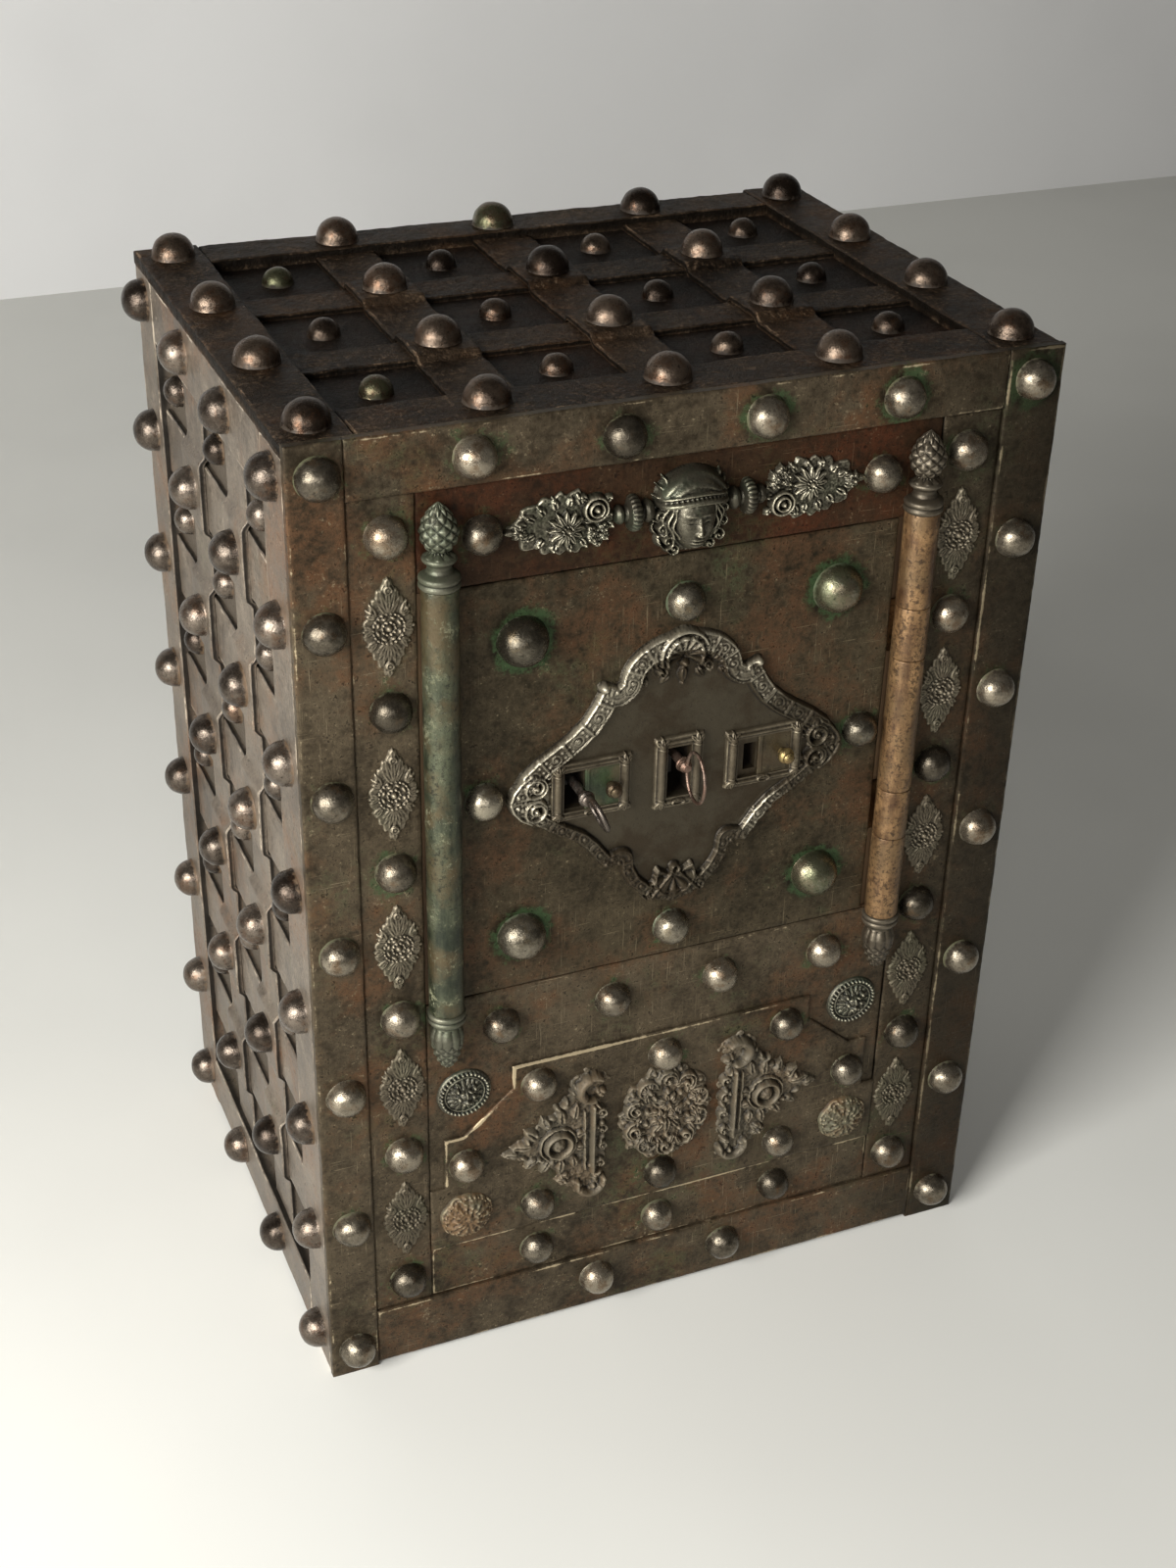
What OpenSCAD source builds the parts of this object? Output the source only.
// Iron safe with interlaced straps, domed nail heads, a hinge column and a two-key lock
// Millimetres, +Z up, +Y to the back, origin on the floor under the middle of the body

/* [Body] */
// Width over the side straps
body_w = 570; // [540:1:620]
// Depth over the front bars and the back straps
body_d = 422; // [400:1:460]
// Height from the floor to the top straps
body_h = 800; // [770:1:860]
// Thickness of the oak boards
oak_t = 28; // [22:1:34]
// Thickness of the oak front frame
frame_t = 30; // [26:1:30]
// Thickness of the iron sheet between oak and straps
sheet_t = 2.5; // [1.5:0.5:4]
// Thickness of the sheet that lines the inside
lining_t = 1.5; // [1:0.5:2.5]
// Height of the low nail heads that the safe stands on
pad_h = 4; // [3:0.5:6]

/* [Interlaced straps] */
// Thickness of the flat straps
strap_t = 5; // [4:0.5:6]
// Half width of the straps on the sides and the back
side_half = 26; // [20:1:30]
// Half width of the straps that run from front to back on the top
top_half = 24; // [20:1:30]
// Half width of the straps that run from left to right on the top
top_cross_half = 20; // [16:1:26]
// Length of the bend where a strap rises over another
bend_l = 7; // [5:0.5:10]
// How far a strap's end reaches under the border bar
lap = 20; // [10:1:24]
// Clearance where a strap passes over or under another
lay_fit = 0.3; // [0.1:0.1:0.6]
// Distance of the first nail row from the front
depth_first = 34; // [30:1:40]
// Distance of the last nail row from the back
depth_last = 25; // [22:1:34]
// Height of the lowest nail row on the sides
row_first = 26; // [24:1:34]
// Distance of the highest nail row from the top
row_last = 32; // [28:1:40]
// Distance of the outer nail columns of the top from its sides
col_margin = 25.5; // [22:0.5:32]

/* [Nail heads] */
// Radius of the large heads on the sides, the back and the top
side_nail_r = 16.5; // [14:0.5:18]
// Radius of the small heads in the recesses
small_nail_r = 12; // [9:0.5:14]
// Radius of the heads on the front
front_nail_r = 15; // [12:0.5:17]
// Radius of the four large heads on the door
door_nail_r = 18.5; // [15:0.5:21]
// Height of the straight foot under each dome
nail_foot = 1; // [0.5:0.5:2]

/* [Seams] */
// Gap where two bars or two sheets meet end to end
seam = 0.2; // [0.1:0.05:0.5]
// Gap between the two layers of straps
layer_gap = 0.1; // [0.05:0.05:0.3]

/* [Front] */
// How far the middle of the front lies from the middle of the body
front_mid = -3; // [-6:1:6]
// Depth of the front bars
bar_t = 7; // [6:0.5:9]
// Depth of the two rosette strips
strip_t = 4.5; // [4:0.5:6]
// Depth of the door plate, the head strip and the apron
plate_t = 3; // [2.5:0.5:3.5]
// Depth of the raised plaque
plaque_t = 3; // [2:0.5:4]
// Width of the upright bars at the left and right of the front
upright_w = 42; // [36:1:48]
// Width of a rosette strip
strip_w = 47; // [40:1:52]
// Height of the top bar
top_bar_h = 43; // [36:1:50]
// Height of the strip that carries the head
head_strip_h = 74; // [64:1:84]
// Height of the bottom bar
bottom_bar_h = 54; // [44:1:60]
// Height of the strap over the bottom bar
low_strap_h = 49; // [40:1:56]
// Height of the plaque
plaque_h = 165; // [150:1:180]
// Height of the band between plaque and door
band_h = 74; // [60:1:84]

/* [Door and hinge] */
// Gap between the door plate and the plates round it
door_gap = 1; // [0.5:0.5:2]
// Distance of each column's axis from the rosette strip beside it
column_in = 14; // [13.5:0.5:15]
// Radius of the columns
column_r = 13; // [12:0.5:13.5]
// How far the column axis lies in front of the oak
column_out = 10; // [9:0.5:11]
// Radius of the hinge pin
pin_r = 5; // [4:0.5:6]
// Running clearance of the hinge on its pin
pin_fit = 0.06; // [0.02:0.01:0.1]
// Gap between two knuckles
knuckle_gap = 0.4; // [0.2:0.1:1]
// Length of a door knuckle
door_knuckle_l = 42; // [36:1:50]
// Distance of each door knuckle from the middle of the column
door_knuckle_z = 77.5; // [70:0.5:85]
// Thickness of the hinge leaves
leaf_t = 3; // [2:0.5:3]
// Thickness of the oak in the door
core_t = 26; // [22:1:28]
// Thickness of the iron sheet on the back of the door
back_t = 3; // [2:0.5:4]

/* [Lock] */
// Distance between the lock windows
window_pitch = 69; // [66:1:72]
// Depth of the lock case
case_d = 25; // [25:1:30]
// Wall of the lock case
case_wall = 2; // [1.5:0.5:3]
// Thickness of the bolts
bolt_t = 7.8; // [6:0.2:8]
// Half height of the two main bolts
bolt_half = 10; // [7:0.5:12]
// Radius of the key shanks
shank_r = 3.5; // [2.5:0.5:4]
// Length of the key bits from the axis
bit_l = 11; // [8:0.5:11]
// Sliding clearance in the lock
slide_fit = 0.3; // [0.1:0.1:0.5]
// Width of a shutter
shutter_w = 30; // [26:1:31]
// Thickness of a shutter
shutter_t = 2; // [1.5:0.1:2]

/* [Inside] */
// Height of the shelf
shelf_z = 500; // [400:1:620]
// Thickness of the shelf
shelf_t = 3; // [2:0.5:5]
// Width of the angle irons that carry the shelf
ledge_w = 20; // [14:1:30]

/* [Hidden] */
$fn = 64;
half_w = body_w / 2;
half_d = body_d / 2;
// Two straps lie on each other at a crossing
weave_t = 2 * strap_t;
// Planes of the layers, from the outside in
side_x = half_w - weave_t;
oak_x = side_x - sheet_t;
top_z = body_h - weave_t;
oak_top_z = top_z - sheet_t;
back_y = half_d - weave_t;
oak_back_y = back_y - sheet_t;
front_y = bar_t - half_d;
base_z = pad_h + sheet_t;
frame_back_y = front_y + frame_t;
room_x = oak_x - oak_t;
room_y = oak_back_y - oak_t;
room_top = oak_top_z - oak_t;
room_floor = base_z + oak_t;
// Nail rows and columns, which are also the middles of the straps
depth_pitch = (body_d - depth_first - depth_last) / 3;
depths = [for (i = [0:3]) depth_first + i * depth_pitch - half_d];
row_pitch = (body_h - row_first - row_last) / 7;
rows = [for (i = [0:7]) row_first + i * row_pitch];
col_pitch = (body_w - 2 * col_margin) / 4;
cols = [for (i = [0:4]) col_margin + i * col_pitch - half_w];
inner_rows = [for (i = [1:6]) rows[i]];
inner_depths = [depths[1], depths[2]];
inner_cols = [cols[1], cols[2], cols[3]];
// Heights of the plates on the front, from the floor up
bottom_bar_top = pad_h + bottom_bar_h;
low_strap_top = bottom_bar_top + low_strap_h;
plaque_top = low_strap_top + plaque_h;
apron_top = plaque_top + band_h - door_gap;
top_bar_z = body_h - top_bar_h;
head_strip_z = top_bar_z - head_strip_h;
strip_out = half_w - upright_w;
strip_in = strip_out - strip_w;
column_x = strip_in - column_in;
plate_y = front_y - plate_t;
plaque_y = plate_y - plaque_t;
strip_y = front_y - strip_t;
// Columns and hinge
column_y = front_y - column_out;
hinge_x = front_mid + column_x;
post_x = front_mid - column_x;
tube_z0 = apron_top;
tube_z1 = head_strip_z + 7;
tube_mid = (tube_z0 + tube_z1) / 2;
bed_fit = 0.8;
knuckle_z = [tube_mid - door_knuckle_z, tube_mid + door_knuckle_z];
// Door opening and door
jamb_l = post_x + 12;
jamb_r = hinge_x - 12.5;
door_z0 = apron_top + door_gap;
door_z1 = head_strip_z - door_gap;
door_l = post_x + 14.5;
door_r = hinge_x - 13.8;
door_mid_z = (door_z0 + door_z1) / 2;
core_back_y = front_y + core_t;
door_back_y = core_back_y + back_t;
case_back_y = door_back_y + case_d;
// Lock
carto_z = door_mid_z - 4;
// The cartouche fills the room between the nails of the door
carto_w = strip_in - 65;
carto_h = (door_z1 - door_z0) / 2 - 55;
carto_t = 2.5;
carto_y = plate_y - carto_t;
border_t = 4.5;
window_step = window_pitch * carto_w / 131;
window_x = [front_mid - window_step, front_mid, front_mid + window_step];
key_l_x = window_x[0] - 12;
key_l_z = carto_z + 5;
key_m_x = window_x[1] - 1;
key_m_z = carto_z + 11;
hole_r_x = window_x[2] - 11;
key_l_turn = 21;
bolt_y = door_back_y + 4;
lock_mid_z = carto_z + 10;
main_bolt_dz = 50;
second_bolt_z = lock_mid_z + 20;
second_half = 8;
bolt_tip_x = door_l + 8.5;
link_w = 16;
link_x = bolt_tip_x + 100;
case_x0 = door_l + 20.5;
case_x1 = hole_r_x + 47;
case_half = 75;

// A plate between two corners
module box(x0, x1, y0, y1, z0, z1)
    translate([x0, y0, z0])
        cube([x1 - x0, y1 - y0, z1 - z0]);

// Turns what is drawn along +Z to face out of the front, the sides or the back
module to_front(x, y, z)
    translate([x, y, z])
        rotate([90, 0, 0])
            children();

module to_right(x, y, z)
    translate([x, y, z])
        rotate([0, 90, 0])
            children();

module to_back(x, y, z)
    translate([x, y, z])
        rotate([-90, 0, 0])
            children();

// Lays a face drawn as u, v and outward w on the right, the left or the back
module right_face()
    translate([side_x, 0, 0])
        rotate([90, 0, 90])
            children();

module left_face()
    mirror([1, 0, 0])
        right_face()
            children();

module back_face()
    translate([0, back_y, 0])
        rotate([90, 0, 180])
            children();

// Keeps only what stands out of the plane y, so that a turned piece sits flat
module flat_backed(y)
    intersection() {
        children();
        box(-half_w, half_w, y - 60, y, 0, body_h);
    }

// Dome of a forged nail head
module nail(r) {
    cylinder(r = r, h = nail_foot);
    translate([0, 0, nail_foot])
        intersection() {
            sphere(r = r);
            translate([-r, -r, 0])
                cube([2 * r, 2 * r, r]);
        }
}

// Lower layer: flat straps across the face
module cross_straps(u0, u1, vs, half)
    for (v = vs)
        translate([u0, v - half, 0])
            cube([u1 - u0, 2 * half, strap_t]);

// Upper line of a strap that rises over each cross strap
function crimp_line(v0, v1, vs, half) = concat(
    [[v0, strap_t]],
    [for (v = vs, p = [
        [-half - lay_fit - bend_l, strap_t], [-half - lay_fit, weave_t],
        [half + lay_fit, weave_t], [half + lay_fit + bend_l, strap_t]
    ]) [v + p[0], p[1]]],
    [[v1, strap_t]]
);

// Upper layer: forged straps that lie on the sheet and rise over the cross straps
module crimped_straps(us, u_half, v0, v1, vs, v_half) {
    upper = crimp_line(v0, v1, vs, v_half);
    lower = [for (i = [len(upper) - 1:-1:0]) [upper[i][0], upper[i][1] - strap_t + layer_gap]];
    for (u = us)
        translate([u - u_half, 0, 0])
            rotate([90, 0, 90])
                linear_extrude(2 * u_half)
                    polygon(concat(upper, lower));
}

// Border bar along v, with a recess over the end of each cross strap
module bar_along_v(u0, u1, v0, v1, vs, half, inner)
    difference() {
        translate([u0, v0, 0])
            cube([u1 - u0, v1 - v0, weave_t]);
        for (v = vs)
            translate([inner > 0 ? u1 - lap : u0 - 1, v - half - lay_fit, -1])
                cube([lap + 1, 2 * (half + lay_fit), strap_t + 1]);
    }

// Border bar along u, with a recess over the end of each crimped strap
module bar_along_u(u0, u1, v0, v1, us, half, inner)
    difference() {
        translate([u0, v0, 0])
            cube([u1 - u0, v1 - v0, weave_t]);
        for (u = us)
            translate([u - half - lay_fit, inner > 0 ? v1 - lap : v0 - 1, -1])
                cube([2 * (half + lay_fit), lap + 1, strap_t + 1]);
    }

// Sides: inner edges of the border bars
side_in0 = depths[0] + side_half;
side_in1 = depths[3] - side_half;
side_low = rows[0] + side_half;
side_high = rows[7] - side_half;

module side_bars() {
    bar_along_v(front_y, side_in0, 0, top_z, inner_rows, side_half, 1);
    bar_along_v(side_in1, half_d, 0, top_z, inner_rows, side_half, -1);
    bar_along_u(side_in0 + seam, side_in1 - seam, pad_h, side_low, inner_depths, side_half, 1);
    bar_along_u(side_in0 + seam, side_in1 - seam, side_high, top_z, inner_depths, side_half, -1);
}

module side_straps() {
    cross_straps(side_in0 - lap, side_in1 + lap, inner_rows, side_half);
    crimped_straps(inner_depths, side_half, side_low - lap, side_high + lap, inner_rows, side_half);
}

// Nails of a side: large ones on the crossings, small ones in the recesses
module side_nails() {
    for (y = depths, z = rows)
        translate([y, z, weave_t])
            nail(side_nail_r);
    for (i = [0:2], k = [0:6])
        translate([(depths[i] + depths[i + 1]) / 2, (rows[k] + rows[k + 1]) / 2, 0])
            nail(small_nail_r);
}

module left_border_bars()
    color("#4a3f38")
        left_face()
            side_bars();

module left_straps()
    color("#55483f")
        left_face()
            side_straps();

module right_border_bars()
    color("#3a332f")
        right_face()
            side_bars();

module right_straps()
    color("#3d3632")
        right_face()
            side_straps();

module nails_left()
    color("#7a6a5f")
        left_face()
            side_nails();

module nails_right()
    color("#6a5d55")
        right_face()
            side_nails();

// Top: the bars at its left and right stand out a little at the back
top_in = -cols[0] - top_half;
top_front_in = depths[0] + top_cross_half;
top_back_in = depths[3] - top_cross_half;
back_overhang = 5;

module top_border_bars()
    color("#2b2624")
        translate([0, 0, top_z]) {
            bar_along_v(-half_w, -top_in, front_y, half_d, inner_depths, top_cross_half, 1);
            bar_along_v(top_in, half_w, front_y, half_d, inner_depths, top_cross_half, -1);
            bar_along_u(seam - top_in, top_in - seam, front_y, top_front_in, inner_cols, top_half, 1);
            bar_along_u(seam - top_in, top_in - seam, top_back_in, half_d - back_overhang, inner_cols,
                top_half, -1);
        }

module top_straps()
    color("#2f2a27")
        translate([0, 0, top_z]) {
            cross_straps(-top_in - lap, top_in + lap, inner_depths, top_cross_half);
            crimped_straps(inner_cols, top_half, top_front_in - lap, top_back_in + lap,
                inner_depths, top_cross_half);
        }

// The nails of the front row sit a little left of the columns behind them
front_row_shift = -8;

module nails_top()
    color("#6f625a") {
        for (i = [0:4], k = [0:3])
            translate([cols[i] + (k == 0 && i > 0 && i < 4 ? front_row_shift : 0), depths[k], body_h])
                nail(side_nail_r);
        for (i = [0:3], k = [0:2])
            translate([(cols[i] + cols[i + 1]) / 2, (depths[k] + depths[k + 1]) / 2, top_z])
                nail(small_nail_r);
    }

// Back: between the two sides
back_in = -cols[0] - top_half;

module back_border_bars()
    color("#3a332f")
        back_face() {
            bar_along_v(-side_x, -back_in, 0, top_z, inner_rows, side_half, 1);
            bar_along_v(back_in, side_x, 0, top_z, inner_rows, side_half, -1);
            bar_along_u(seam - back_in, back_in - seam, pad_h, side_low, inner_cols, top_half, 1);
            bar_along_u(seam - back_in, back_in - seam, side_high, top_z, inner_cols, top_half, -1);
        }

module back_straps()
    color("#3d3632")
        back_face() {
            cross_straps(-back_in - lap, back_in + lap, inner_rows, side_half);
            crimped_straps(inner_cols, top_half, side_low - lap, side_high + lap, inner_rows, side_half);
        }

module nails_back()
    color("#6a5d55")
        back_face() {
            for (x = cols, z = rows)
                translate([x, z, weave_t])
                    nail(side_nail_r);
            for (i = [0:3], k = [0:6])
                translate([(cols[i] + cols[i + 1]) / 2, (rows[k] + rows[k + 1]) / 2, 0])
                    nail(small_nail_r);
        }

// Sheets nailed on the oak under the straps
module iron_cladding()
    color("#332d2a") {
        for (s = [0, 1])
            mirror([s, 0, 0])
                box(oak_x, side_x, front_y, oak_back_y, base_z + seam, oak_top_z - seam);
        box(-side_x, side_x, oak_back_y + seam, back_y, base_z + seam, oak_top_z - seam);
        box(-side_x, side_x, front_y, back_y, oak_top_z, top_z);
        box(-side_x, side_x, front_y, back_y, pad_h, base_z);
    }

// Low flat nail heads under the bottom
pad_r = 14;
pad_dx = 190;
pad_dy = 165;

module foot_pads()
    color("#3a332f")
        for (x = [-pad_dx, 0, pad_dx], y = [-pad_dy, 0, pad_dy])
            translate([x, y, 0])
                cylinder(r = pad_r, h = pad_h);

// Oak boards of the carcass
module oak_left()
    color("#6b4a2c")
        box(-oak_x, -room_x, frame_back_y, oak_back_y, base_z, oak_top_z);

module oak_right()
    color("#6b4a2c")
        box(room_x, oak_x, frame_back_y, oak_back_y, base_z, oak_top_z);

module oak_top()
    color("#6b4a2c")
        box(-room_x, room_x, frame_back_y, oak_back_y, room_top, oak_top_z);

module oak_bottom()
    color("#6b4a2c")
        box(-room_x, room_x, frame_back_y, oak_back_y, base_z, room_floor);

module oak_back()
    color("#6b4a2c")
        box(-room_x, room_x, room_y, oak_back_y, room_floor, room_top);

// Hollow in which the columns lie, with room for the door leaves beside the hinge
module column_beds() {
    translate([post_x, column_y, tube_z0 - door_gap])
        cylinder(r = column_r + slide_fit, h = tube_z1 - tube_z0 + 2 * door_gap);
    translate([hinge_x, column_y, tube_z0 - door_gap])
        cylinder(r = column_r + bed_fit, h = tube_z1 - tube_z0 + 2 * door_gap);
    box(jamb_r - 1, hinge_x, front_y - 1, column_y + column_r + bed_fit, tube_z0, head_strip_z);
}

// Oak frame behind the front plates
module front_stile_left()
    color("#6b4a2c")
        difference() {
            box(-oak_x, jamb_l, front_y, frame_back_y, base_z, oak_top_z);
            column_beds();
        }

module front_stile_right()
    color("#6b4a2c")
        difference() {
            box(jamb_r, oak_x, front_y, frame_back_y, base_z, oak_top_z);
            column_beds();
        }

module front_rail_top()
    color("#6b4a2c")
        difference() {
            box(jamb_l, jamb_r, front_y, frame_back_y, head_strip_z, oak_top_z);
            column_beds();
        }

module front_rail_bottom()
    color("#6b4a2c")
        difference() {
            box(jamb_l, jamb_r, front_y, frame_back_y, base_z, apron_top);
            column_beds();
        }

// Thin sheets that line the room
module inner_lining()
    color("#5c5f5a") {
        for (s = [0, 1])
            mirror([s, 0, 0])
                box(room_x - lining_t, room_x, frame_back_y, room_y - lining_t - seam, room_floor, room_top);
        box(-room_x, room_x, room_y - lining_t, room_y, room_floor, room_top);
        box(lining_t + seam - room_x, room_x - lining_t - seam, frame_back_y, room_y - lining_t - seam,
            room_top - lining_t, room_top);
        box(lining_t + seam - room_x, room_x - lining_t - seam, frame_back_y, room_y - lining_t - seam,
            room_floor, room_floor + lining_t);
    }

// Shelf of sheet iron with a turned-down front edge, on two angle irons
shelf_lip = 12;
shelf_front = case_back_y + 12;

module shelf()
    color("#5c5f5a") {
        box(lining_t + 0.5 - room_x, room_x - lining_t - 0.5, shelf_front, room_y - lining_t - 0.5,
            shelf_z, shelf_z + shelf_t);
        box(ledge_w + 4 - room_x, room_x - ledge_w - 4, shelf_front, shelf_front + shelf_t,
            shelf_z - shelf_lip, shelf_z);
    }

module shelf_ledges()
    color("#4b4743")
        for (s = [0, 1])
            mirror([s, 0, 0]) {
                box(room_x - lining_t - ledge_w, room_x - lining_t, shelf_front, room_y - lining_t,
                    shelf_z - shelf_t, shelf_z);
                box(room_x - lining_t - shelf_t, room_x - lining_t, shelf_front, room_y - lining_t,
                    shelf_z - ledge_w, shelf_z - shelf_t);
            }

// Bars that frame the front: two uprights, one at the top and one at the bottom
module front_bars()
    color("#46403a") {
        box(-half_w, front_mid - strip_out, -half_d, front_y, 0, body_h);
        box(front_mid + strip_out, half_w, -half_d, front_y, 0, body_h);
        box(front_mid - strip_out + seam, front_mid + strip_out - seam, -half_d, front_y, top_bar_z, body_h);
        box(front_mid - strip_out + seam, front_mid + strip_out - seam, -half_d, front_y, pad_h,
            bottom_bar_top);
    }

module rosette_strip(s)
    translate([front_mid, 0, 0])
        mirror([s, 0, 0])
            box(strip_in, strip_out, strip_y, front_y, bottom_bar_top, top_bar_z);

module rosette_strip_left()
    color("#494339")
        rosette_strip(1);

module rosette_strip_right()
    color("#494339")
        difference() {
            rosette_strip(0);
            frame_leaves(0);
        }

module head_strip()
    color("#4d3a34")
        difference() {
            box(front_mid - strip_in, front_mid + strip_in, plate_y, front_y, head_strip_z, top_bar_z);
            column_beds();
        }

module low_strap()
    color("#463f39")
        box(front_mid - strip_in, front_mid + strip_in, plate_y - 1, front_y, bottom_bar_top, low_strap_top);

module apron_plate()
    color("#48413b")
        box(front_mid - strip_in, front_mid + strip_in, plate_y, front_y, low_strap_top, apron_top);

// Right half of the plaque's outline, from its middle line outwards
plaque_half = [[strip_in, 0], [strip_in, 60], [strip_in - 12, 60], [strip_in - 12, plaque_h - 57],
    [strip_in - 28, plaque_h - 57], [strip_in - 68, plaque_h - 22], [strip_in - 68, plaque_h]];
plaque_pts = concat(plaque_half, [for (i = [len(plaque_half) - 1:-1:0]) [-plaque_half[i][0], plaque_half[i][1]]]);

module plaque()
    color("#463f39")
        to_front(front_mid, plate_y, low_strap_top)
            linear_extrude(plaque_t)
                polygon(plaque_pts);

// Nails of the front, row by row
left_nails = [for (i = [0:5]) 26 + i * (body_h - 158) / 5];
right_nails = [for (i = [0:5]) 28 + i * (body_h - 173) / 5];
bar_nails = [for (i = [0:5]) 21 + i * (body_w - 45) / 5 - half_w];
strip_nails = [for (i = [0:5]) 84 + i * (body_h - 155) / 5];
strip_mid = strip_in + strip_w / 2 - 3;
bar_nail_z = body_h - 23;

module nails_front()
    color("#80736a") {
        for (z = left_nails)
            to_front(bar_nails[0], -half_d, z)
                nail(front_nail_r);
        for (z = right_nails)
            to_front(bar_nails[5], -half_d, z)
                nail(front_nail_r);
        for (x = bar_nails)
            to_front(x, -half_d, bar_nail_z)
                nail(front_nail_r);
        for (x = [-57, 58])
            to_front(x, -half_d, pad_h + bottom_bar_h / 2 + 3)
                nail(front_nail_r);
        for (s = [-1, 1], z = strip_nails)
            to_front(front_mid + s * strip_mid, strip_y, z)
                nail(front_nail_r);
        for (s = [-1, 1])
            to_front(front_mid + s * (strip_in - 46), plate_y, head_strip_z + head_strip_h / 2)
                nail(front_nail_r - 1);
        for (i = [-1.5:1:1.5])
            to_front(front_mid + i * 91, plate_y, apron_top - 31)
                nail(front_nail_r - 0.5);
        for (i = [-1:1])
            to_front(front_mid + i * 107, plate_y - 1, low_strap_top - 25)
                nail(front_nail_r - 1);
        for (i = [-1:1], z = [23, 144])
            to_front(front_mid + i * 107, plaque_y, low_strap_top + z)
                nail(front_nail_r - 1);
        for (s = [-1, 1])
            to_front(front_mid + s * (strip_in - 29), plaque_y, low_strap_top + 81)
                nail(front_nail_r - 1);
    }

// Cast rosette in the outline of a leafy lozenge
rosette_w = 18;
rosette_h = 36;
rosette_pts = [for (i = [0:59]) let (a = i * 6,
    r = (1 + 0.07 * cos(18 * a)) / (abs(cos(a)) / rosette_w + abs(sin(a)) / rosette_h))
    [r * cos(a), r * sin(a)]];

module rosette() {
    linear_extrude(2.5)
        polygon(rosette_pts);
    cylinder(r = 12, h = 4);
    cylinder(r = 7.5, h = 5);
    translate([0, 0, 2.5])
        sphere(r = 4);
}

module rosettes()
    color("#6c665c")
        for (s = [-1, 1], i = [0:4])
            to_front(front_mid + s * strip_mid, strip_y, (strip_nails[i] + strip_nails[i + 1]) / 2 - 1)
                difference() {
                    rosette();
                    translate([0, 0, -10])
                        cylinder(r = 10, h = 10);
                }

// Round bosses: a beaded rim round a domed middle
boss_r = 21;

module boss() {
    cylinder(r = boss_r, h = 3);
    translate([0, 0, 3])
        rotate_extrude()
            translate([boss_r - 2.5, 0])
                circle(r = 2, $fn = 24);
    translate([0, 0, -20])
        intersection() {
            sphere(r = 29);
            translate([-20, -20, 22])
                cube([40, 40, 20]);
        }
}

module round_bosses()
    color("#5f5a4e")
        for (s = [-1, 1], z = [30, 150])
            to_front(front_mid + s * (strip_in - 29), z < 100 ? plaque_y : plate_y, low_strap_top + z)
                boss();

// Openwork rocaille mount: outer tip, upper scroll, inner side and lower scroll
rocaille = [[-46, -2], [-24, -16], [-7, -24], [6, -42], [17, -60], [31, -66], [41, -60], [36, -46],
    [43, -26], [45, 2], [36, 24], [45, 40], [42, 56], [24, 64], [8, 52], [0, 28], [-22, 20]];
rocaille_bulbs = [[27, 45, 12], [27, -50, 12], [29, 0, 9], [0, -3, 14], [-30, 0, 7]];

module rocaille_mounts()
    color("#6a6354")
        for (s = [0, 1])
            translate([front_mid, 0, 0])
                mirror([s, 0, 0])
                    to_front(91, plaque_y, low_strap_top + 83)
                        mirror([1, 0, 0]) {
                            linear_extrude(4)
                                polygon(rocaille);
                            for (b = rocaille_bulbs)
                                translate([b[0], b[1], 4])
                                    intersection() {
                                        sphere(r = b[2] * 0.75, $fn = 32);
                                        translate([-b[2], -b[2], 0])
                                            cube([2 * b[2], 2 * b[2], 6]);
                                    }
                        }

// Wreath of roses round a middle rose
wreath_w = 38;
wreath_h = 44;
wreath_pts = [for (i = [0:71]) let (a = i * 5, k = 1 + 0.05 * cos(10 * a))
    [wreath_w * k * cos(a), wreath_h * k * sin(a)]];

module wreath_mount()
    color("#6a6354")
        to_front(front_mid + 2, plaque_y, low_strap_top + 86) {
            linear_extrude(4)
                polygon(wreath_pts);
            for (a = [18:36:342])
                translate([(wreath_w - 10) * cos(a), (wreath_h - 11) * sin(a), 4])
                    intersection() {
                        sphere(r = 8, $fn = 32);
                        translate([-8, -8, 0])
                            cube([16, 16, 6]);
                    }
            translate([0, 0, 4])
                intersection() {
                    sphere(r = 14, $fn = 32);
                    translate([-14, -14, 0])
                        cube([28, 28, 9]);
                }
        }

// Head in a close cap: an egg and a rounder cap, both flat behind
head_r = 21;
head_z = head_strip_z + head_strip_h / 2 - 3;
head_line = [for (i = [0:12]) let (t = i / 12) [head_r * pow(sin(180 * t), 0.75), -28 + 56 * t]];
cap_line = [for (i = [0:8]) let (t = i / 8) [27 * pow(cos(90 * t), 0.6), 8 + 23 * sin(90 * t)]];

module head_mount()
    color("#5d5a4d")
        flat_backed(plate_y)
            translate([front_mid, plate_y - 3, head_z]) {
                rotate_extrude()
                    polygon(head_line);
                rotate_extrude()
                    polygon(concat([[0, 8]], cap_line));
            }

// Flower sprays beside the head
spray_pts = [for (i = [0:47]) let (a = i * 7.5, k = 1 + 0.08 * cos(12 * a))
    [-1 + 34 * k * cos(a), (19 + 4 * cos(a)) * k * sin(a) * (1 - 0.25 * cos(a))]];

// Each spray fills the room between a baluster and the nail beyond it
spray_k = (strip_in - 122.5) / 73.5;
spray_x = 59 + 36 * spray_k;

module flower_sprays()
    color("#6c665c")
        for (s = [0, 1])
            translate([front_mid, 0, 0])
                mirror([s, 0, 0])
                    to_front(spray_x, plate_y, head_strip_z + head_strip_h / 2 - 1)
                        mirror([1, 0, 0]) scale([spray_k, 1, 1]) {
                            linear_extrude(4)
                                polygon(spray_pts);
                            cylinder(r = 14, h = 6);
                            translate([22, 7, 0])
                                cylinder(r = 9, h = 8);
                            translate([20, -10, 0])
                                cylinder(r = 7, h = 7);
                        }

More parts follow.
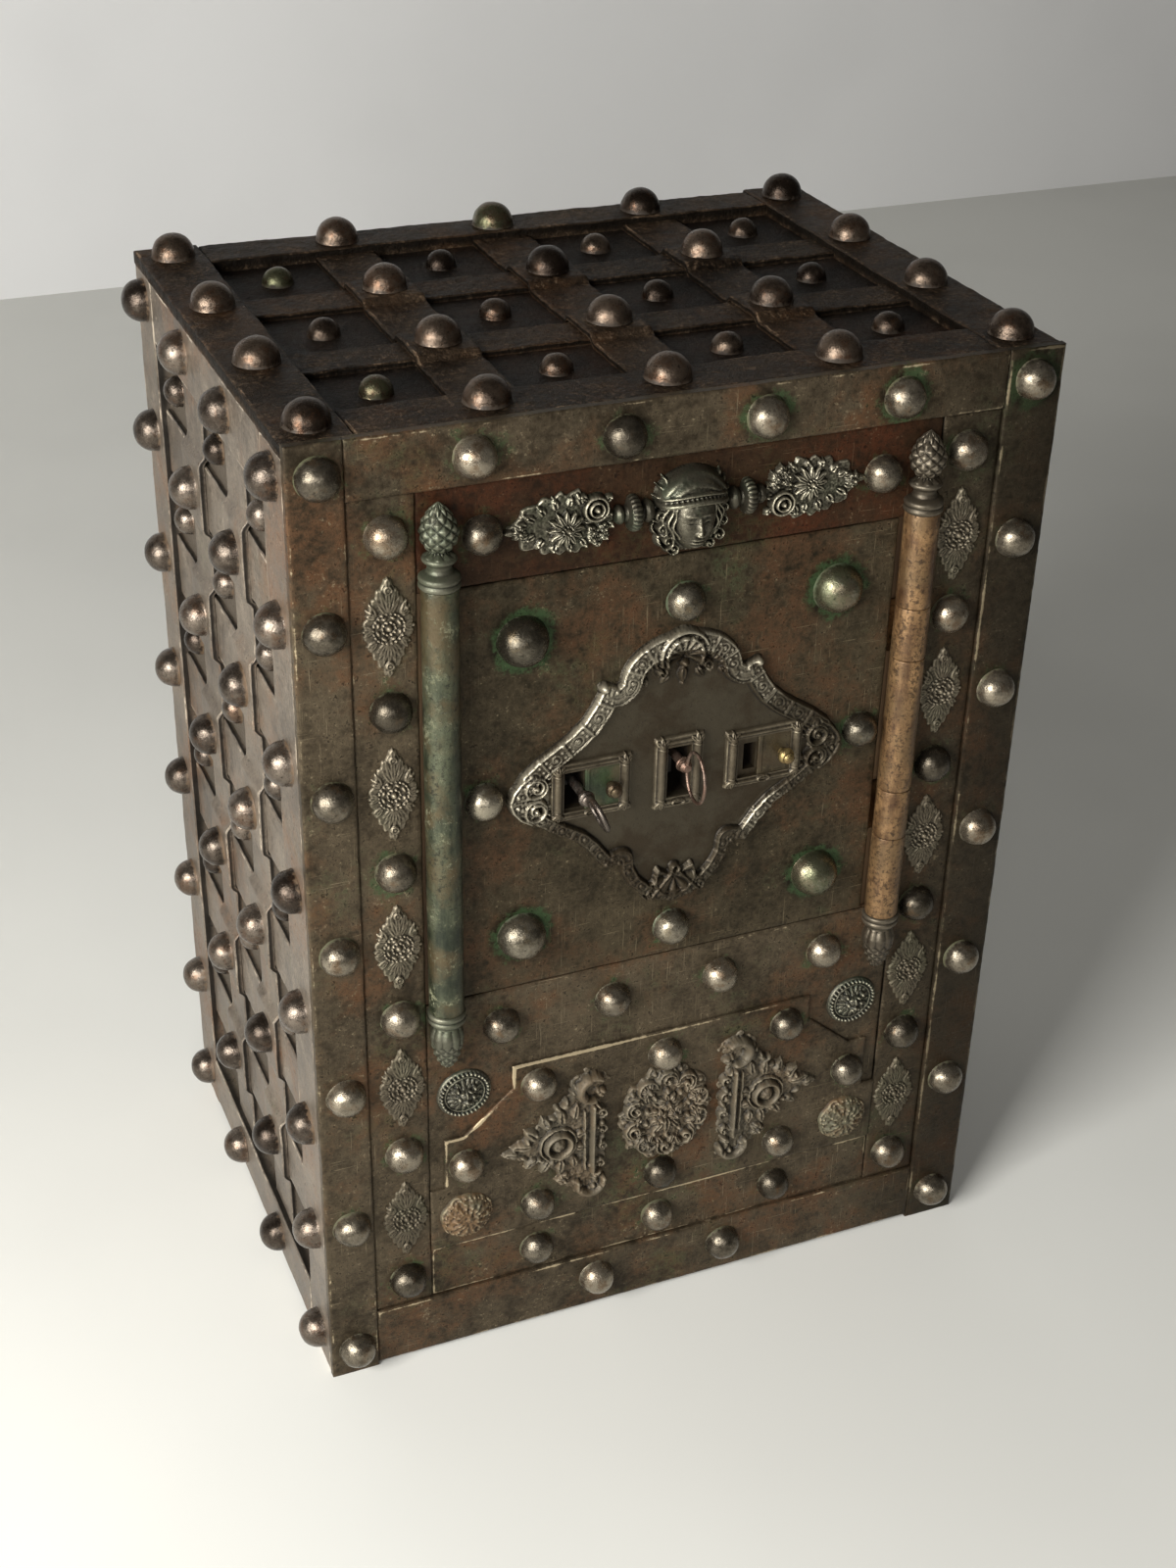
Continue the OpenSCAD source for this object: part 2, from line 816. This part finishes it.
// Turned balusters between the head and the sprays
baluster_line = [[0, 29], [5, 29], [8, 32], [6, 35], [7, 38], [12.5, 40], [12.5, 45], [6, 48], [7, 51], [7, 53], [4, 56], [0, 56]];

module balusters()
    color("#7d786c")
        for (s = [0, 1])
            flat_backed(plate_y)
                translate([front_mid, plate_y - 2, head_strip_z + head_strip_h / 2])
                    mirror([s, 0, 0])
                        rotate([0, 90, 0])
                            rotate_extrude()
                                polygon(baluster_line);

// Column of pipe on the closing side
tube_wall = 2.5;

module column_left()
    color("#6f7565")
        translate([post_x, column_y, tube_z0])
            difference() {
                cylinder(r = column_r, h = tube_z1 - tube_z0);
                translate([0, 0, -1])
                    cylinder(r = column_r - tube_wall, h = tube_z1 - tube_z0 + 2);
            }

// Ends of a column: a double ring, then a neck and a cone above, an acorn below
ring_r = column_r + 1.6;
cone_line = [for (i = [0:10]) let (t = i / 10) [13.5 * pow(sin(180 * pow(t, 0.8)), 0.7), 24 + 37 * t]];
upper_line = concat([[0, 0], [column_r, 0], [ring_r, 1.5], [ring_r, 3.5], [column_r + 1, 5], [ring_r, 6.5],
    [ring_r, 8.5], [column_r, 10], [9, 12], [8, 15], [9, 18], [12, 21], [10, 24]],
    [for (i = [1:10]) cone_line[i]]);
acorn_line = [for (i = [0:8]) let (t = i / 8) [12.5 * pow(cos(90 * t), 0.5), 26 + 29 * t]];
lower_line = concat([[0, 0], [column_r, 0], [ring_r, 1.5], [ring_r, 3.5], [column_r + 1, 5], [ring_r, 6.5],
    [ring_r, 8.5], [column_r, 10], [9.5, 12], [10.5, 17], [12.5, 22]], acorn_line);

module finials(x, pin_hole)
    flat_backed(plate_y)
        translate([x, column_y, 0]) {
            translate([0, 0, tube_z1])
                difference() {
                    rotate_extrude()
                        polygon(upper_line);
                    if (pin_hole)
                        translate([0, 0, -1])
                            cylinder(r = pin_r + pin_fit, h = 13);
                }
            translate([0, 0, tube_z0])
                mirror([0, 0, 1])
                    difference() {
                        rotate_extrude()
                            polygon(lower_line);
                        if (pin_hole)
                            translate([0, 0, -1])
                                cylinder(r = pin_r + pin_fit, h = 13);
                    }
        }

module finials_left()
    color("#77765f")
        finials(post_x, false);

module finials_right()
    color("#6b5a48")
        finials(hinge_x, true);

// Hinge: the frame holds three knuckles and the door two
leaf_frame_l = 28;
leaf_frame_t = 2;

function frame_spans() = [
    [tube_z0, knuckle_z[0] - door_knuckle_l / 2 - knuckle_gap],
    [knuckle_z[0] + door_knuckle_l / 2 + knuckle_gap, knuckle_z[1] - door_knuckle_l / 2 - knuckle_gap],
    [knuckle_z[1] + door_knuckle_l / 2 + knuckle_gap, tube_z1]
];

module frame_leaves(shrink)
    for (s = frame_spans())
        box(hinge_x + 8, hinge_x + 14 + leaf_frame_l, front_y - leaf_frame_t, front_y,
            s[0] + 6 + shrink, s[1] - 12 - shrink);

module frame_knuckles()
    color("#8a5f42")
        for (s = frame_spans())
            difference() {
                union() {
                    translate([hinge_x, column_y, s[0]])
                        cylinder(r = column_r, h = s[1] - s[0]);
                    box(hinge_x + 8, hinge_x + 14 + leaf_frame_l, front_y - leaf_frame_t, front_y,
                        s[0] + 6, s[1] - 12);
                }
                translate([hinge_x, column_y, s[0] - 1])
                    cylinder(r = pin_r + pin_fit, h = s[1] - s[0] + 2);
            }

// The leaves of the door lie in the oak behind its plate
leaf_door_x = hinge_x - 69;

module door_leaf(z)
    box(leaf_door_x, hinge_x - 3, front_y, front_y + leaf_t, z - door_knuckle_l / 2, z + door_knuckle_l / 2);

module door_knuckles()
    color("#9a6a48")
        for (z = knuckle_z)
            difference() {
                union() {
                    translate([hinge_x, column_y, z - door_knuckle_l / 2])
                        cylinder(r = column_r, h = door_knuckle_l);
                    door_leaf(z);
                }
                translate([hinge_x, column_y, z - door_knuckle_l / 2 - 1])
                    cylinder(r = pin_r + pin_fit, h = door_knuckle_l + 2);
            }

module hinge_pin()
    color("#7c7069")
        translate([hinge_x, column_y, tube_z0 - 11])
            cylinder(r = pin_r, h = tube_z1 - tube_z0 + 22);

// Wells under the windows, through which the keys reach the lock
module wells(y0, y1) {
    box(window_x[0] - 20, window_x[0] - 5, y0, y1, carto_z - 15, carto_z + 15);
    box(window_x[1] - 9.5, window_x[1] + 9.5, y0, y1, carto_z - 21, carto_z + 21);
    box(window_x[2] - 16, window_x[2] - 6, y0, y1, carto_z - 11, carto_z + 11);
}

module door_plate()
    color("#4b443d")
        difference() {
            box(door_l, door_r, plate_y, front_y, door_z0, door_z1);
            wells(plate_y - 1, front_y + 1);
        }

module door_core()
    color("#6b4a2c")
        difference() {
            box(jamb_l + 5, jamb_r - 2.5, front_y, core_back_y, door_z0 + 1, door_z1 - 1);
            wells(front_y - 1, core_back_y + 1);
            for (z = knuckle_z)
                door_leaf(z);
        }

// Keyhole: a round hole with a slot for the bit
module keyhole(x, z, turn)
    translate([x, 0, z])
        rotate([0, turn, 0]) {
            translate([0, door_back_y + 1, 0])
                rotate([90, 0, 0])
                    cylinder(r = shank_r + pin_fit, h = back_t + 2);
            box(-2, 2, core_back_y - 1, door_back_y + 1, -bit_l - 1, 0);
        }

module door_back_plate()
    color("#57544e")
        difference() {
            box(jamb_l + 5, jamb_r - 2.5, core_back_y, door_back_y, door_z0 + 1, door_z1 - 1);
            keyhole(key_l_x, key_l_z, 0);
            keyhole(key_m_x, key_m_z, 0);
            keyhole(hole_r_x, carto_z + 5, 0);
        }

module nails_door()
    color("#7d7268") {
        for (s = [-1, 1], z = [door_z0 + 46, door_z1 - 46])
            to_front(front_mid + s * (strip_in - 75), plate_y, z)
                nail(door_nail_r);
        for (s = [-1, 1])
            to_front(front_mid + s * (strip_in - 46), plate_y, door_mid_z)
                nail(front_nail_r - 1);
        for (z = [door_z0 + 25, door_z1 - 36])
            to_front(front_mid + 1, plate_y, z)
                nail(front_nail_r - 0.5);
    }

// Outlines of the cartouche's edge and of its border's inner side, each as its upper and lower quarter
function crest(w, z, h) = [for (a = [15:15:90]) [w * cos(a), z + h * sin(a)]];

edge_upper = concat([[131, 0], [128, 8], [121, 20], [109, 30], [96, 38.5], [85, 46], [75, 55], [68, 65], [62.5, 75],
    [59.5, 82], [50, 77.5], [46.5, 80]], crest(46, 80, 33));
edge_lower = [[131, 0], [128, 8], [114, 20.5], [97, 32.5], [79, 43.5], [70, 53], [63, 62.5], [56.5, 71], [43.5, 67],
    [42.5, 78], [36, 91], [26, 101.5], [13, 109], [0, 113]];
inner_upper = concat([[117, 0], [116, 4], [111.5, 13], [102.6, 22.3], [90.3, 30.3], [78.5, 38.4], [67.5, 48.8],
    [59.8, 60.2], [54, 69], [43, 68.5]], crest(36, 78, 25));
inner_lower = [[117, 0], [116, 4], [109.5, 14], [93, 26.3], [75, 37.5], [64.5, 48.5], [57.5, 57.5], [52, 62.5],
    [37, 60], [35.5, 75.5], [30, 86], [21.5, 95], [11, 101.5], [0, 105]];

function mirrored(q, sx, sz) = [for (p = q) [sx * p[0], sz * p[1]]];
function reversed(q) = [for (i = [len(q) - 2:-1:1]) q[i]];

function carto_outline(top, low) = let (q = concat(top, mirrored(reversed(top), -1, 1), mirrored(low, -1, -1),
        mirrored(reversed(low), 1, -1)))
    [for (p = q) [p[0] * carto_w / 131, p[1] * carto_h / 113]];

// The border makes way for the window frames
module window_beds()
    for (i = [0:2]) {
        w = (i == 1 ? 37 : window_w) / 2 + 0.3;
        h = (i == 1 ? 58 : window_h) / 2 + 0.3;
        box(window_x[i] - w, window_x[i] + w, carto_y - border_t - 1, carto_y, carto_z - h, carto_z + h);
    }

module cartouche()
    color("#5b564b")
        difference() {
            union() {
                to_front(front_mid, plate_y, carto_z)
                    linear_extrude(carto_t)
                        polygon(carto_outline(edge_upper, edge_lower));
                difference() {
                    to_front(front_mid, plate_y, carto_z)
                        linear_extrude(carto_t + border_t)
                            difference() {
                                polygon(carto_outline(edge_upper, edge_lower));
                                polygon(carto_outline(inner_upper, inner_lower));
                            }
                    window_beds();
                }
                for (sx = [-1, 1])
                    to_front(front_mid + sx * (carto_w - 15), plate_y, carto_z)
                        cylinder(r = 15, h = carto_t + border_t + 2);
                to_front(front_mid, plate_y, carto_z + carto_h - 18)
                    cylinder(r = 18, h = carto_t + border_t + 2);
                to_front(front_mid, plate_y, carto_z - carto_h + 16)
                    cylinder(r = 16, h = carto_t + border_t + 1);
            }
            wells(carto_y - 1, plate_y + 1);
        }

// Raised frames of the lock windows, with a groove behind for the shutter
frame_h = 5.5;
window_w = 61;
window_h = 46;
open_w = 43;
open_h = 33;
groove_w = 57;
groove_h = 37;
groove_d = shutter_t + 0.2;

module window_frame(w, h, ow, oh) {
    side_r = min((w - ow) / 4, frame_h);
    difference() {
        union() {
            translate([-w / 2, -h / 2, 0])
                cube([w, h, frame_h - 2]);
            for (s = [-1, 1])
                translate([s * (w / 2 - side_r), h / 2, frame_h - side_r])
                    rotate([90, 0, 0])
                        cylinder(r = side_r, h = h);
            for (s = [-1, 1])
                translate([s * (w / 2 - side_r) - side_r, -h / 2, 0])
                    cube([2 * side_r, h, frame_h - side_r]);
        }
        translate([-ow / 2, -oh / 2, -1])
            cube([ow, oh, frame_h + 2]);
        translate([-w, -h, -10])
            cube([2 * w, 2 * h, 10]);
    }
}

module window_frames()
    color("#615c4c") {
        for (i = [0, 2])
            to_front(window_x[i], carto_y, carto_z)
                difference() {
                    window_frame(window_w, window_h, open_w, open_h);
                    translate([-groove_w / 2, -groove_h / 2, -1])
                        cube([groove_w, groove_h, groove_d + 1]);
                }
        to_front(window_x[1], carto_y, carto_z)
            window_frame(37, 58, 19, 42);
    }

// Shutter with a turned knob
knob_line = [[0, 0], [2.4, 0], [2.4, 3], [4.5, 6], [4.8, 8], [4.2, 10], [3, 11.5], [3.4, 13], [2, 14.5], [0, 15]];
knob_x = 14.5;
shutter_l = -4.5;

module shutter(x)
    to_front(x, carto_y - 0.1, carto_z) {
        translate([shutter_l, -groove_h / 2 + slide_fit, 0])
            cube([shutter_w, groove_h - 2 * slide_fit, shutter_t]);
        translate([knob_x, 0, shutter_t])
            rotate_extrude()
                polygon(knob_line);
    }

module shutter_left()
    color("#3e5a41")
        shutter(window_x[0]);

module shutter_right()
    color("#a58a4e")
        shutter(window_x[2]);

// Lock: a case on the back of the door with slots for three bolts
module bolt_slot(z, half)
    box(case_x0 - 1, case_x0 + case_wall + 1, bolt_y - slide_fit, bolt_y + bolt_t + slide_fit,
        z - half - slide_fit, z + half + slide_fit);

module lock_case()
    color("#6b665f")
        difference() {
            box(case_x0, case_x1, door_back_y, case_back_y, lock_mid_z - case_half, lock_mid_z + case_half);
            box(case_x0 + case_wall, case_x1 - case_wall, door_back_y - 1, case_back_y - case_wall,
                lock_mid_z - case_half + case_wall, lock_mid_z + case_half - case_wall);
            bolt_slot(lock_mid_z - main_bolt_dz, bolt_half);
            bolt_slot(lock_mid_z + main_bolt_dz, bolt_half);
            bolt_slot(second_bolt_z, second_half);
        }

// Two bolts joined by a bar behind them
module main_bolts()
    color("#8c857e") {
        for (s = [-1, 1])
            box(bolt_tip_x, link_x + link_w, bolt_y, bolt_y + bolt_t,
                lock_mid_z + s * main_bolt_dz - bolt_half, lock_mid_z + s * main_bolt_dz + bolt_half);
        box(link_x, link_x + link_w, bolt_y + bolt_t, bolt_y + bolt_t + 6,
            lock_mid_z - main_bolt_dz - bolt_half, lock_mid_z + main_bolt_dz + bolt_half);
    }

module second_bolt()
    color("#8c857e")
        box(bolt_tip_x, key_m_x - bit_l - 2, bolt_y, bolt_y + bolt_t - 0.3,
            second_bolt_z - second_half, second_bolt_z + second_half);

// Keys: shank, bit, ringed collar and bow, drawn along the front's outward direction
module key_body(reach) {
    translate([0, 0, -reach])
        cylinder(r = shank_r, h = reach);
    translate([-1.2, -bit_l, -reach])
        cube([2.4, bit_l, 7.5]);
    for (r = [[0, 5], [3.2, 6.2], [6.4, 5]])
        translate([0, 0, r[0]])
            rotate_extrude()
                polygon([[0, 0], [r[1] - 1, 0], [r[1], 1.6], [r[1] - 1, 3.2], [0, 3.2]]);
}

key_tip_y = door_back_y + 10;
key_l_out = 20;
key_m_out = 12;

// Flat pointed loop
module key_left()
    color("#8f8a84")
        to_front(key_l_x, plate_y - key_l_out, key_l_z)
            rotate([0, 0, key_l_turn]) {
                key_body(key_l_out + plate_t + core_t + back_t + 10);
                translate([-2, 0, 0])
                    rotate([90, 0, 90])
                        linear_extrude(4)
                            difference() {
                                polygon([for (i = [0:35]) let (a = i * 10)
                                    [14 * sin(a) * (1 - 0.15 * cos(a)), 25 - 16.5 * cos(a)]]);
                                polygon([for (i = [0:35]) let (a = i * 10)
                                    [9.5 * sin(a) * (1 - 0.15 * cos(a)), 26 - 12 * cos(a)]]);
                            }
            }

// Round ring
module key_middle()
    color("#9c6d5c")
        to_front(key_m_x, plate_y - key_m_out, key_m_z) {
            key_body(key_m_out + plate_t + core_t + back_t + 10);
            translate([-1.4, 0, 0])
                rotate([90, 0, 90])
                    linear_extrude(2.8)
                        difference() {
                            polygon([for (i = [0:35]) [21 * sin(i * 10), 23 - 16.5 * cos(i * 10)]]);
                            polygon([for (i = [0:35]) [18.2 * sin(i * 10), 23 - 13.7 * cos(i * 10)]]);
                        }
        }

oak_left();
oak_right();
oak_top();
oak_bottom();
oak_back();
front_stile_left();
front_stile_right();
front_rail_top();
front_rail_bottom();
inner_lining();
shelf();
shelf_ledges();
iron_cladding();
foot_pads();
left_border_bars();
left_straps();
right_border_bars();
right_straps();
top_border_bars();
top_straps();
back_border_bars();
back_straps();
nails_left();
nails_right();
nails_top();
nails_back();
nails_front();
front_bars();
rosette_strip_left();
rosette_strip_right();
head_strip();
apron_plate();
plaque();
low_strap();
rosettes();
round_bosses();
rocaille_mounts();
wreath_mount();
head_mount();
flower_sprays();
balusters();
column_left();
finials_left();
finials_right();
frame_knuckles();
door_knuckles();
hinge_pin();
door_plate();
door_core();
door_back_plate();
nails_door();
cartouche();
window_frames();
shutter_left();
shutter_right();
lock_case();
main_bolts();
second_bolt();
key_left();
key_middle();
